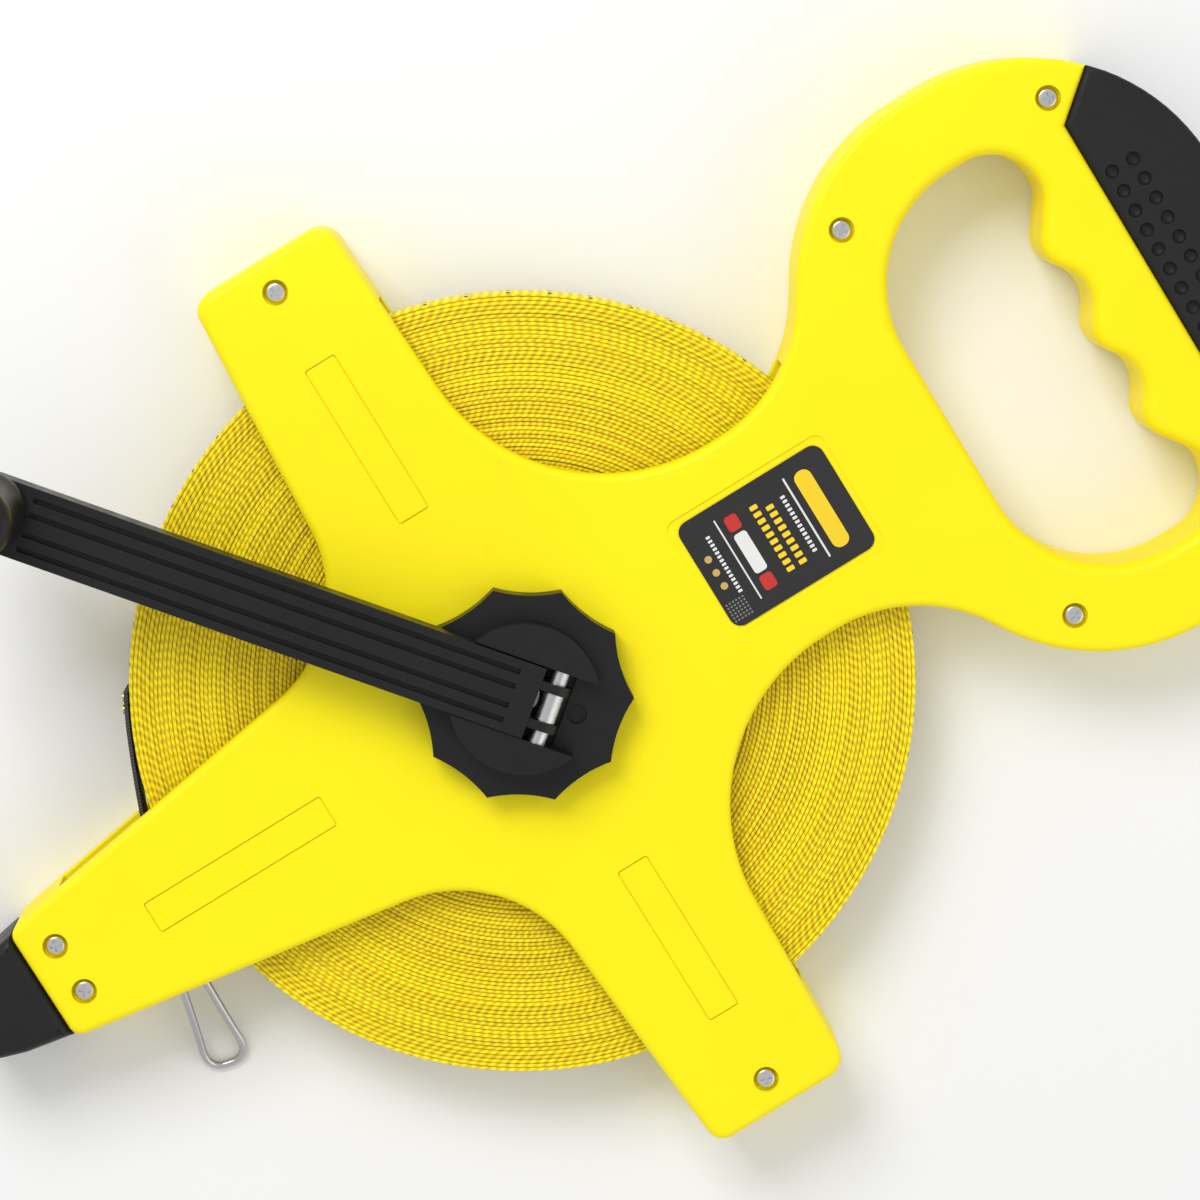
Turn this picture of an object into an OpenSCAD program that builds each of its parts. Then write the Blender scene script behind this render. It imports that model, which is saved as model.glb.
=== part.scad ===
// Open-frame surveyor's tape reel, lying on its back.
// The origin is on the drum's axis, on the surface the reel lies on. +X runs from the
// drum to the handle, -X to the nose, and +Z is the side with the winding crank.

/* [Frame] */
// Thickness of the frame, both half shells together
frame_t = 28; // [26:1:32]
// Wall thickness of the moulded shells
wall = 2.4; // [2:0.2:3]
// Reach of the two side arms from the drum's axis
side_reach = 120; // [116:1:126]
// Distance from the drum's axis to the yellow end of the nose arm
nose_arm_x = 136.5; // [132:1:142]
// Distance from the drum's axis to the outer edge of the handle
handle_x = 206; // [200:1:212]
// Half height of the handle, across the reel
handle_half = 72.4; // [70:0.4:76]

/* [Tape] */
// Outer radius of the fully wound tape
coil_r = 95; // [88:1:96]
// Radius of the drum that the tape is wound on
core_r = 33; // [30:1:36]
// Width of the tape
tape_w = 13; // [12:0.5:13]

/* [Crank] */
// Direction of the crank arm at rest, in degrees from +X
crank_angle = 128.6; // [110:1:140]
// Distance from the drum's axis to the knob's axis
knob_x = 134; // [128:1:138]
// Width of the crank arm
arm_w = 17.6; // [16:0.2:17.6]
// Height of the knob above the arm
knob_h = 30; // [24:1:30]

/* [Hidden] */

arc_step = 9;             // degrees between the points of a rounded corner
mid_z = frame_t / 2;      // parting plane of the shells, and the middle of the tape
gap = 0.3;                // clearance between pieces that move past each other

yellow = [1.0, 0.89, 0.02];
black = [0.08, 0.08, 0.08];
steel = [0.75, 0.75, 0.76];
brass = [0.80, 0.62, 0.25];

// Screw places, in the frame's plane
handle_screw_at = [[122, 54.2], [122, -54.2], [179.8, 55.2], [179.8, -55.2]];
side_screw_at = [[0, 112], [0, -112]];
nose_screw_at = [[-128.4, 6.5], [-128.4, -6.5]];
screw_at = concat(handle_screw_at, side_screw_at, nose_screw_at);
screw_r = 1.5;
head_r = 2.5;
head_h = 1.7;
recess_r = 3.1;
recess_d = 2.6;
boss_r = 3.7;

// Coil chamber and drum
chamber_r = coil_r + 4.5;
chamber_z = 5.4;                    // how far the shells stay back from their outer faces
coil_z = mid_z - tape_w / 2;
flange_r = 46;
flange_t = 1.3;
flange_hole_r = 15.5;
core_z = mid_z - 6.7;
core_h = 13.4;
hub_z = 8;
hub_h = frame_t - 2 * hub_z;

// Bearings and spindle
spindle_r = 5;
spindle_fit = 0.05;
bush_r = 7;
bush_flange_r = 10;
bearing_boss_r = 13.5;
bearing_boss_h = 7;
bush_flange_t = 0.8;
spindle_flat = 4;
spindle_top = 31.5;
cap_r = 12;
cap_t = 1.4;
head_recess_z = 3.4;

// Crank hub, arm and hinge
hub_disc_z = 29;
hub_disc_top = 35.6;
hub_corner_r = 26.2;
cheek_r = 18;
cheek_top = 43;
pin_x = -6.2;
pin_z = 40;
pin_r = 2.2;
arm_z = 36;
arm_t = 8;
arm_back = 3.8;                     // from the pin's axis to the back end of the arm
ear_y = 4.7;
ear_t = 2.2;
sleeve_r = 2.75;
groove_y = [-6.05, -2.4, 2.4, 6.05];
groove_w = 1.3;
groove_x0 = 3.2;
groove_x1 = 124.3;
knob_z = arm_z + arm_t + 1;
knob_r = 9.6;
stud_r = 2.5;

// Tape leader: a strap from the coil to the pull ring
leader_t = 0.9;
leader_r = coil_r + gap + leader_t / 2;
leave_angle = 155;                  // where the leader leaves the coil
eyelet_at = [-106.6, -15.7];
ring_turn = -11.5;                  // direction of the ring, in degrees from -Y
ring_droop = 24;                    // how far the ring droops to rest on the ground
ring_wire_r = 1;

// The tape's way out through the nose arm
window_x0 = -121;
window_x1 = -95;
window_z = 6.5;

// Handle opening, and the rubber grip's inner edge
grip_x = 180;
grip_half = 47.5;
opening_half = 52.5;
finger_pitch = 23.75;

function unit(v) = v / norm(v);

// Points of the arc of radius r that rounds the corner b between a and c
function rounded_corner(a, b, c, r) =
    let (
        u = unit(a - b),
        v = unit(c - b),
        half = acos(u * v) / 2,
        centre = b + unit(u + v) * r / sin(half),
        start = b + u * r / tan(half) - centre,
        end = b + v * r / tan(half) - centre,
        from = atan2(start.y, start.x),
        sweep = (atan2(end.y, end.x) - from + 540) % 360 - 180,
        steps = max(2, ceil(abs(sweep) / arc_step))
    )
    [for (i = [0:steps]) centre + r * [cos(from + sweep * i / steps), sin(from + sweep * i / steps)]];

// Outline through corners [x, y, radius], given counter-clockwise
function rounded_outline(corners) =
    let (n = len(corners))
    [for (i = [0:n - 1])
        let (
            a = corners[(i + n - 1) % n],
            b = corners[i],
            c = corners[(i + 1) % n]
        )
        each rounded_corner([a.x, a.y], [b.x, b.y], [c.x, c.y], b[2])];

// The same corners with every edge moved inwards by d
function inset_corners(corners, d) =
    let (n = len(corners))
    [for (i = [0:n - 1])
        let (
            a = corners[(i + n - 1) % n],
            b = corners[i],
            c = corners[(i + 1) % n],
            u = unit([b.x - a.x, b.y - a.y]),
            v = unit([c.x - b.x, c.y - b.y]),
            nu = [-u.y, u.x],
            nv = [-v.y, v.x],
            p = [b.x, b.y] + d * (nu + nv) / (1 + nu * nv),
            left = cross(u, v) > 0
        )
        [p.x, p.y, max(0.2, left ? b[2] - d : b[2] + d)]];

function mirrored_down(corners) = [for (c = corners) [c.x, -c.y, c[2]]];
function reversed(list) = [for (i = [len(list) - 1:-1:0]) list[i]];

// Upper half of the frame's outline, from the nose to the handle
frame_half = [
    [-nose_arm_x, 15.2, 3.5],
    [-25, 33, 34],
    [-18.5, side_reach, 4.5],
    [18.8, side_reach, 5.5],
    [22.6, 27, 48],
    [92.4, 27, 38],
    [121, handle_half, 50],
    [handle_x - 3, handle_half, 50]];
frame_corners = concat(mirrored_down(frame_half), [[handle_x + 1, 0, 110]], reversed(frame_half));

// Upper half of the handle's opening, from the drum side to the middle finger bump
opening_top = [
    [120.3, opening_half, 31],
    [168, opening_half, 13],
    [168, 36.5, 8],
    [158.8, finger_pitch, 4],
    [167.3, finger_pitch / 2, 9]];
opening_corners = concat(mirrored_down(opening_top), [[158.8, 0, 4]], reversed(opening_top));

// The part of the handle that the rubber grip takes
grip_corners = [
    [grip_x, -grip_half], [grip_x + 24, -grip_half - 20], [grip_x + 60, -grip_half - 20],
    [grip_x + 60, grip_half + 20], [grip_x + 24, grip_half + 20], [grip_x, grip_half]];

module at_front(z = frame_t) {
    translate([0, 0, z]) mirror([0, 0, 1]) children();
}

module crank_frame() {
    rotate(crank_angle) children();
}

// Cylinder from point p to point q
module rod(p, q, r) {
    d = q - p;
    translate(p)
        rotate([0, acos(d.z / norm(d)), atan2(d.y, d.x)])
        cylinder(r = r, h = norm(d), $fn = 32);
}

// ---------- Frame ----------

// One half shell with its outer face at z = 0 and its open side at z = mid_z
module half_shell() {
    union() {
        difference() {
            linear_extrude(mid_z) difference() {
                polygon(rounded_outline(frame_corners));
                polygon(rounded_outline(opening_corners));
                polygon(grip_corners);
            }
            // hollow inside
            translate([0, 0, wall]) linear_extrude(mid_z) difference() {
                polygon(rounded_outline(inset_corners(frame_corners, wall)));
                polygon(rounded_outline(inset_corners(opening_corners, -wall)));
                translate([-wall, 0]) polygon(grip_corners);
            }
            // room for the wound tape
            translate([0, 0, chamber_z]) cylinder(r = chamber_r, h = frame_t, $fn = 128);
            // the tape's way out through both sides of the nose arm
            translate([window_x0, -40, window_z]) cube([window_x1 - window_x0, 80, frame_t]);
            // socket for the nose's tongue
            translate([-nose_arm_x - 1, -10.7, 4]) cube([8, 21.4, frame_t]);
            // slot for the grip's tongue
            translate([grip_x - wall - 1, -40.3, mid_z - 5]) cube([wall + 2, 80.6, 10]);
        }
        for (p = screw_at)
            translate(p) translate([0, 0, 1]) cylinder(r = boss_r, h = mid_z - 1, $fn = 32);
        cylinder(r = bearing_boss_r, h = bearing_boss_h, $fn = 64);
        // ring rib round the bearing
        translate([0, 0, 1]) difference() {
            cylinder(r = 26, h = 3.4, $fn = 96);
            translate([0, 0, -1]) cylinder(r = 24, h = 6, $fn = 96);
        }
    }
}

// Rectangle drawn by a shallow groove, as on the arms' faces
module panel_line(centre, length, width, turn) {
    translate([centre.x, centre.y, -0.1]) rotate(turn) difference() {
        translate([-length / 2, -width / 2]) cube([length, width, 0.4]);
        translate([-length / 2 + 0.5, -width / 2 + 0.5, -1]) cube([length - 1, width - 1, 3]);
    }
}

module front_shell() {
    color(yellow) at_front() difference() {
        half_shell();
        for (p = screw_at) translate(p) {
            translate([0, 0, -1]) cylinder(r = recess_r, h = recess_d + 1, $fn = 48);
            cylinder(r = screw_r + 0.1, h = frame_t, $fn = 32);
        }
        translate([0, 0, -1]) cylinder(r = bush_r, h = frame_t, $fn = 64);
        // recess for the label
        translate([49, -16.2, -1]) cube([43.6, 32.4, 1.4]);
        panel_line([-80, 0], 50, 8.4, 0);
        panel_line([0, 71], 43, 8.4, 90);
        panel_line([0, -71], 43, 8.4, 90);
    }
}

module rear_shell() {
    color(yellow) difference() {
        half_shell();
        for (p = screw_at)
            translate(p) translate([0, 0, 4]) cylinder(r = screw_r, h = frame_t, $fn = 32);
        translate([0, 0, -1]) cylinder(r = bush_r, h = frame_t, $fn = 64);
        translate([0, 0, -1]) cylinder(r = cap_r, h = cap_t + 1, $fn = 64);
        translate([0, 0, -1]) cylinder(r = 9, h = head_recess_z + 1, $fn = 64);
    }
}

module handle_grip() {
    color(black) difference() {
        union() {
            linear_extrude(frame_t) intersection() {
                polygon(rounded_outline(frame_corners));
                translate([0.1, 0]) polygon(grip_corners);
            }
            // tongue held between the shells
            translate([grip_x - 6, -40, mid_z - 4.8]) cube([7, 80, 9.6]);
        }
        for (side = [0, 1], row = [-6:6], column = [0, 1])
            translate([grip_x + 3.6 + 6 * column, 5.4 * row, side * frame_t])
                translate([0, 0, (2 * side - 1) * 1.1]) sphere(r = 2, $fn = 24);
    }
}

module nose_tip() {
    nose_half = [
        [-nose_arm_x - 0.1, 14.4, 0.2],
        [-nose_arm_x - 12, 12.2, 14],
        [-nose_arm_x - 23.5, 8.4, 7.5]];
    color(black) difference() {
        union() {
            translate([0, 0, 0.6]) linear_extrude(frame_t - 1.2)
                polygon(rounded_outline(concat(nose_half, reversed(mirrored_down(nose_half)))));
            // tongue between the shells
            translate([-nose_arm_x - 1, -10.5, 4.2]) cube([14.8, 21, frame_t - 8.4]);
        }
        for (p = nose_screw_at) translate(p) cylinder(r = boss_r + 0.2, h = frame_t, $fn = 48);
    }
}

module label_plate() {
    label = [[51, -14.4, 3], [91, -14.4, 3], [91, 14.4, 3], [51, 14.4, 3]];
    color(black) translate([0, 0, frame_t - 0.4]) linear_extrude(0.4) polygon(rounded_outline(label));
}

// Pan-head tapping screw whose head rests on the recess floor
module shell_screw() {
    seat = frame_t - recess_d;
    difference() {
        union() {
            translate([0, 0, seat]) cylinder(r = head_r, h = head_h, $fn = 48);
            translate([0, 0, 6]) cylinder(r = screw_r, h = seat - 6 + 0.1, $fn = 32);
        }
        for (turn = [0, 90])
            rotate(turn) translate([-1.5, -0.3, seat + head_h - 0.9]) cube([3, 0.6, 2]);
    }
}

module screws(places) {
    color(steel) for (p = places) translate(p) shell_screw();
}

module handle_screws() screws(handle_screw_at);
module side_arm_screws() screws(side_screw_at);
module nose_screws() screws(nose_screw_at);

// Flanged bush with its flange at the drum side, standing on z = 0 at its outer end
module bush(sleeve_h) {
    difference() {
        union() {
            cylinder(r = bush_r, h = sleeve_h, $fn = 64);
            translate([0, 0, sleeve_h]) cylinder(r = bush_flange_r, h = bush_flange_t, $fn = 64);
        }
        translate([0, 0, -1]) cylinder(r = spindle_r + spindle_fit, h = sleeve_h + 4, $fn = 64);
    }
}

module rear_bush() {
    color("ivory") translate([0, 0, head_recess_z]) bush(bearing_boss_h - head_recess_z);
}

module front_bush() {
    color("ivory") at_front(frame_t + 0.4) bush(bearing_boss_h + 0.4);
}

module rear_cap() {
    color(black) cylinder(r = cap_r, h = cap_t, $fn = 64);
}

// ---------- Tape end ----------

// Middle line of the leader: on the coil, straight off it, then bending to the eyelet
function bezier(a, b, c, d, t) =
    a * pow(1 - t, 3) + 3 * b * t * pow(1 - t, 2) + 3 * c * t * t * (1 - t) + d * pow(t, 3);
ring_dir = [sin(ring_turn), -cos(ring_turn)];
leave_dir = [-sin(leave_angle), cos(leave_angle)];
leave_at = leader_r * [cos(leave_angle), sin(leave_angle)];
leader_end = eyelet_at + 4.2 * ring_dir;
leader_path = concat(
    [for (a = [149:2:leave_angle - 1]) leader_r * [cos(a), sin(a)]],
    [for (t = [0:0.1:1]) bezier(leave_at, leave_at + 26 * leave_dir, leader_end - 16 * ring_dir, leader_end, t)]);

// Both sides of a path at distance w / 2
function strip(path, w) =
    let (
        n = len(path),
        normals = [for (i = [0:n - 1])
            let (d = unit(path[min(i + 1, n - 1)] - path[max(i - 1, 0)])) [-d.y, d.x]]
    )
    concat(
        [for (i = [0:n - 1]) path[i] + normals[i] * w / 2],
        [for (i = [n - 1:-1:0]) path[i] - normals[i] * w / 2]);

// Places children at the eyelet, with X through the eyelet and -Y along the ring
module at_eyelet() {
    translate([eyelet_at.x, eyelet_at.y, mid_z]) rotate(ring_turn) children();
}

module tape_leader() {
    color(black) difference() {
        translate([0, 0, coil_z]) linear_extrude(tape_w) polygon(strip(leader_path, leader_t));
        at_eyelet() rotate([0, 90, 0]) cylinder(r = 2.7, h = 8, center = true, $fn = 48);
    }
}

module leader_eyelet() {
    color(brass) at_eyelet() rotate([0, 90, 0]) difference() {
        union() {
            cylinder(r = 2.7, h = 1.8, center = true, $fn = 48);
            for (side = [-1, 1])
                translate([0, 0, side * 0.75]) cylinder(r = 4, h = 0.4, center = true, $fn = 48);
        }
        cylinder(r = 2.2, h = 4, center = true, $fn = 48);
    }
}

module leader_rivets() {
    color(brass) for (a = [150, 151.8], z = [-3.2, 3.2])
        rotate(a) translate([leader_r + leader_t / 2 + 0.02, 0, mid_z + z])
            rotate([0, 90, 0]) cylinder(r = 1.2, h = 0.5, $fn = 32);
}

// Long wire ring, narrow at its top bar on the X axis and round at its foot
module pull_ring() {
    half_top = 2.1;
    foot_y = -27;
    foot_r = 4.9;
    color(steel) at_eyelet() rotate([ring_droop, 0, 0]) {
        rod([-half_top, 0, 0], [half_top, 0, 0], ring_wire_r);
        for (side = [-1, 1]) {
            rod([side * half_top, 0, 0], [side * foot_r, foot_y, 0], ring_wire_r);
            translate([side * half_top, 0, 0]) sphere(r = ring_wire_r + 0.06, $fn = 32);
            translate([side * foot_r, foot_y, 0]) sphere(r = ring_wire_r + 0.06, $fn = 32);
        }
        translate([0, foot_y, 0]) rotate(180) rotate_extrude(angle = 180, $fn = 64)
            translate([foot_r, 0]) circle(r = ring_wire_r, $fn = 32);
    }
}

// ---------- Drum ----------

// Round shaft with one flat, as a cutter or as the shaft itself
module flatted_shaft(h, play = 0) {
    intersection() {
        cylinder(r = spindle_r + play, h = h, $fn = 64);
        translate([-10, -10, -1]) cube([20, 10 + spindle_flat + play, h + 2]);
    }
}

module drum_core() {
    color([0.15, 0.15, 0.15]) difference() {
        union() {
            difference() {
                translate([0, 0, core_z]) cylinder(r = core_r, h = core_h, $fn = 96);
                translate([0, 0, core_z - 1]) cylinder(r = core_r - 2.8, h = core_h + 2, $fn = 96);
            }
            // rear flange, in one piece with the core
            translate([0, 0, core_z - flange_t]) cylinder(r = flange_r, h = flange_t, $fn = 96);
            translate([0, 0, hub_z]) cylinder(r = 12, h = hub_h, $fn = 64);
            for (turn = [0:60:300]) rotate(turn) {
                translate([11, -1.2, hub_z]) cube([core_r - 13, 2.4, hub_h]);
                rotate(30) translate([core_r - 5, 0, core_z - 0.1]) cylinder(r = 2.6, h = core_h + 0.1, $fn = 32);
            }
        }
        translate([0, 0, core_z - flange_t - 1]) cylinder(r = flange_hole_r, h = flange_t + 1.02, $fn = 64);
        flatted_shaft(frame_t, 0.03);
        for (turn = [30:120:270]) rotate(turn)
            translate([core_r - 5, 0, mid_z]) cylinder(r = 1.2, h = core_h, $fn = 32);
        // light holes in the flange between the spokes
        for (turn = [0:60:300]) rotate(turn + 30)
            translate([22, 0, core_z - flange_t - 1]) cylinder(r = 4, h = flange_t + 1.02, $fn = 32);
        rotate(90) translate([core_r - 5, 0, core_z]) cylinder(r = 1, h = core_h + 1, $fn = 32);
    }
}

module drum_flange() {
    color([0.15, 0.15, 0.15]) translate([0, 0, core_z + core_h]) difference() {
        cylinder(r = flange_r, h = flange_t, $fn = 96);
        translate([0, 0, -1]) cylinder(r = flange_hole_r, h = 4, $fn = 64);
        for (turn = [30:120:270]) rotate(turn)
            translate([core_r - 5, 0, -1]) cylinder(r = 1.3, h = 4, $fn = 32);
    }
}

module flange_screws() {
    color(steel) for (turn = [30:120:270]) rotate(turn) translate([core_r - 5, 0, core_z + core_h]) {
        translate([0, 0, flange_t]) cylinder(r = 2.2, h = 0.9, $fn = 32);
        translate([0, 0, -5]) cylinder(r = 1.2, h = 5.05 + flange_t, $fn = 32);
    }
}

module tape_anchor_pin() {
    color(steel) rotate(90) translate([core_r - 5, 0, core_z]) cylinder(r = 1, h = core_h, $fn = 32);
}

module tape_coil() {
    color([0.93, 0.78, 0.05]) translate([0, 0, coil_z]) difference() {
        cylinder(r = coil_r, h = tape_w, $fn = 128);
        translate([0, 0, -1]) cylinder(r = core_r, h = tape_w + 2, $fn = 96);
    }
}

module spindle() {
    color(steel) difference() {
        union() {
            // head behind the rear bush
            translate([0, 0, cap_t + 0.1]) cylinder(r = 8.6, h = 1.8, $fn = 64);
            translate([0, 0, cap_t + 0.2]) cylinder(r = spindle_r, h = hub_z - cap_t - 0.2, $fn = 64);
            translate([0, 0, hub_z - 0.1]) flatted_shaft(hub_h + 0.2);
            translate([0, 0, hub_z + hub_h]) cylinder(r = spindle_r, h = hub_disc_z - hub_z - hub_h, $fn = 64);
            translate([0, 0, hub_disc_z - 0.1]) flatted_shaft(spindle_top - hub_disc_z + 0.1);
        }
        translate([0, 0, 22]) cylinder(r = 2, h = 20, $fn = 32);
    }
}

module thrust_washer(z) {
    color(steel) translate([0, 0, z]) difference() {
        cylinder(r = 9, h = 0.14, $fn = 64);
        translate([0, 0, -1]) cylinder(r = spindle_r + 0.1, h = 3, $fn = 64);
    }
}

module rear_washer() thrust_washer(hub_z - 0.16);
module front_washer() thrust_washer(hub_z + hub_h + 0.02);

module crank_hub() {
    apothem = hub_corner_r * cos(18);
    scallop_r = 33.3;
    channel_w = arm_w + 2 * gap;
    color(black) crank_frame() difference() {
        union() {
            // disc with hollow sides between its ten corners
            difference() {
                translate([0, 0, hub_disc_z]) rotate(18)
                    cylinder(r = hub_corner_r, h = hub_disc_top - hub_disc_z, $fn = 10);
                for (turn = [0:36:324]) rotate(turn)
                    translate([apothem - 1 + scallop_r, 0, hub_disc_z - 1])
                        cylinder(r = scallop_r, h = 9, $fn = 96);
            }
            // cheeks on both sides of the arm
            difference() {
                translate([0, 0, hub_disc_top - 1]) cylinder(r = cheek_r, h = cheek_top - hub_disc_top + 1, $fn = 96);
                translate([-30, -channel_w / 2, hub_disc_top - 2]) cube([60, channel_w, 20]);
            }
        }
        // room for the arm's back end to turn
        translate([pin_x - 4.2, -channel_w / 2 + 0.1, pin_z - 5.9]) cube([8.4, channel_w - 0.2, 5]);
        translate([pin_x, 0, pin_z]) rotate([90, 0, 0]) cylinder(r = pin_r, h = 29, center = true, $fn = 48);
        translate([-13.4, 0, hub_disc_top - 1.2]) cylinder(r = 2.4, h = 6, $fn = 48);
        rotate(-crank_angle) flatted_shaft(spindle_top, 0.03);
        cylinder(r = 2.1, h = 60, $fn = 32);
        translate([0, 0, 33]) cylinder(r = 4.2, h = 20, $fn = 48);
    }
}

module hub_screw() {
    color(steel) {
        translate([0, 0, 33]) cylinder(r = 3.7, h = 1.6, $fn = 48);
        translate([0, 0, 23]) cylinder(r = 2, h = 10.1, $fn = 32);
    }
}

module hinge_pin() {
    color(steel) crank_frame() translate([pin_x, 0, pin_z]) rotate([90, 0, 0])
        cylinder(r = pin_r, h = 29, center = true, $fn = 48);
}

module hinge_sleeve() {
    color(steel) crank_frame() translate([pin_x, 0, pin_z]) rotate([90, 0, 0]) difference() {
        cylinder(r = sleeve_r, h = 6.8, center = true, $fn = 48);
        cylinder(r = pin_r, h = 8, center = true, $fn = 48);
    }
}

// ---------- Crank ----------

module crank_arm() {
    back = pin_x + arm_back;
    color(black) crank_frame() difference() {
        union() {
            translate([back, -arm_w / 2, arm_z]) cube([knob_x - back, arm_w, arm_t]);
            translate([knob_x, 0, arm_z]) cylinder(r = arm_w / 2, h = arm_t, $fn = 64);
            translate([knob_x, 0, arm_z]) cylinder(r = arm_w / 2 - 0.8, h = arm_t + 0.6, $fn = 64);
            for (side = [-1, 1]) translate([pin_x, side * ear_y, pin_z]) {
                rotate([90, 0, 0]) cylinder(r = 3.6, h = ear_t, center = true, $fn = 48);
                translate([0, -ear_t / 2, -3.6]) cube([arm_back + 1, ear_t, 7.2]);
            }
        }
        translate([pin_x, 0, pin_z]) rotate([90, 0, 0])
            cylinder(r = pin_r + spindle_fit, h = 20, center = true, $fn = 48);
        for (y = groove_y)
            translate([groove_x0, y - groove_w / 2, arm_z + arm_t - 1.6])
                cube([groove_x1 - groove_x0, groove_w, 5]);
        // hollow underside
        for (x = [10, 66]) translate([x, -6.4, arm_z - 1]) cube([52, 12.8, 5]);
        translate([knob_x, 0, arm_z - 1]) {
            cylinder(r = stud_r, h = 20, $fn = 48);
            cylinder(r = 4.4, h = 2.6, $fn = 48);
        }
    }
}

module knob_stud() {
    color(steel) crank_frame() translate([knob_x, 0, 0]) {
        translate([0, 0, arm_z + 0.4]) cylinder(r = 4.2, h = 1.2, $fn = 48);
        translate([0, 0, arm_z + 0.5]) cylinder(r = stud_r, h = knob_z + knob_h - 4.8 - arm_z, $fn = 48);
        translate([0, 0, knob_z + knob_h - 4.6]) cylinder(r = 4.2, h = 1.6, $fn = 48);
    }
}

module knob_washer() {
    color(steel) crank_frame() translate([knob_x, 0, arm_z + arm_t + 0.6]) difference() {
        cylinder(r = 6.5, h = 0.3, $fn = 48);
        translate([0, 0, -1]) cylinder(r = stud_r, h = 3, $fn = 48);
    }
}

module crank_knob() {
    color(black) crank_frame() translate([knob_x, 0, knob_z]) difference() {
        rotate_extrude($fn = 96) polygon([
            [0, 0], [knob_r - 0.8, 0], [knob_r, 0.8], [knob_r, 3], [knob_r - 1.2, 5.5],
            [knob_r - 1.6, 14], [knob_r - 1.2, knob_h - 5], [knob_r - 0.6, knob_h - 3],
            [knob_r - 1.6, knob_h - 0.6], [knob_r - 2.6, knob_h], [0, knob_h]]);
        translate([0, 0, -1]) cylinder(r = stud_r + spindle_fit, h = knob_h + 2, $fn = 48);
        translate([0, 0, knob_h - 4.8]) cylinder(r = 4.6, h = 8, $fn = 48);
        translate([0, 0, knob_h - 1.6]) cylinder(r = 5.6, h = 8, $fn = 48);
    }
}

module knob_cap() {
    color(black) crank_frame() translate([knob_x, 0, knob_z + knob_h - 1.6])
        cylinder(r = 5.6, h = 1.8, $fn = 48);
}

front_shell();
rear_shell();
handle_grip();
nose_tip();
label_plate();
handle_screws();
side_arm_screws();
nose_screws();
front_bush();
rear_bush();
rear_cap();
tape_leader();
leader_eyelet();
leader_rivets();
drum_core();
drum_flange();
flange_screws();
tape_anchor_pin();
tape_coil();
spindle();
front_washer();
rear_washer();
crank_hub();
hub_screw();
hinge_pin();
hinge_sleeve();
crank_arm();
knob_stud();
knob_washer();
crank_knob();
knob_cap();
pull_ring();
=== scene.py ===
# Looks of the surveyor's tape reel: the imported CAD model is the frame, and everything rides on it.
# Pieces are modelled in millimetres, in the reel's own frame, and scaled to metres when made.
import math
import random

import bmesh
import bpy
from mathutils import Matrix, Vector
from mathutils.geometry import delaunay_2d_cdt


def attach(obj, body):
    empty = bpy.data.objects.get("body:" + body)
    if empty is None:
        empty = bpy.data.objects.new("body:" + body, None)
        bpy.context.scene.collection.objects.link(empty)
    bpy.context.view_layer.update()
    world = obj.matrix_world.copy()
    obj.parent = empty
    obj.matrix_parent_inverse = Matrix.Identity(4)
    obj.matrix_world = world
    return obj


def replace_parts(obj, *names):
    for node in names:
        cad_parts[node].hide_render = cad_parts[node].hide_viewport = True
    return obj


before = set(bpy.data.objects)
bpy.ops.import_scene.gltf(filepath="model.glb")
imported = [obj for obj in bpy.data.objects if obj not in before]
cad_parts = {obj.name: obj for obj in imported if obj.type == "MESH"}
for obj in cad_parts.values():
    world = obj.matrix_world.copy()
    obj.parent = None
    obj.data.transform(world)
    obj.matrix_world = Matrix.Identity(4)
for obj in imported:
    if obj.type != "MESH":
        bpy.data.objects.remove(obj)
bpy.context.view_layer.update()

MM = 0.001
TAU = 2 * math.pi
ARC_STEP = 4  # degrees between the points of a rounded corner

# ---- sizes that the design shares with the CAD part, in mm and degrees ----
FRAME_T = 28
MID_Z = FRAME_T / 2
WALL = 2.4
NOSE_ARM_X = 136.5
SIDE_REACH = 120
HANDLE_X = 206
HANDLE_HALF = 72.4
COIL_R = 95
CORE_R = 33
TAPE_W = 13
TAPE_PITCH = 1.0   # two turns of the 0.5 mm tape show as one row
CHAMBER_R = COIL_R + 4.5
CHAMBER_EDGE_Z = 22.6   # the front shell's open edge over the coil
WAY_OUT_X = (-121, -95)   # the tape's way out through the side of the nose arm
WAY_OUT_Z = 21.5
HUB_BORE_R = 7.2
CAP_BORE_R = 12.1
CRANK_ANGLE = 128.6
KNOB_X = 134
SCREWS = [(122, 54.2), (122, -54.2), (179.8, 55.2), (179.8, -55.2),
          (0, 112), (0, -112), (-128.4, 6.5), (-128.4, -6.5)]
SCREW_RECESS_R = 3.1
SCREW_RECESS_Z = 25.3
GRIP_X = 180
GRIP_HALF = 47.5
GRIP_FLARE = 20 / 24   # how fast the grip widens away from the hand
BUMP_X = 158.8
FINGER_PITCH = 23.75
BUMP_R = 7   # rounder than the CAD's finger bumps, which have 4
EYELET = (-106.6, -15.7)
RING_TURN = -11.5
RING_DROOP = 24
KNOB_BASE_Z = 45
KNOB_HEIGHT = 30
KNOB_R = 9.6

# (x0, x1, y0, y1, corner radius) of the label and of the recess it lies in
LABEL_PLATE = (51, 91, -14.4, 14.4, 3)
LABEL_RECESS = (49, 92.6, -16.2, 16.2, 2.6)
LABEL_DEPTH = 0.4

# (length, width, x, y) of the plain panels outlined on the nose arm and the side arms
PANELS = [(50, 8.4, -80, 0), (8.4, 43, 0, 71), (8.4, 43, 0, -71)]

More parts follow.
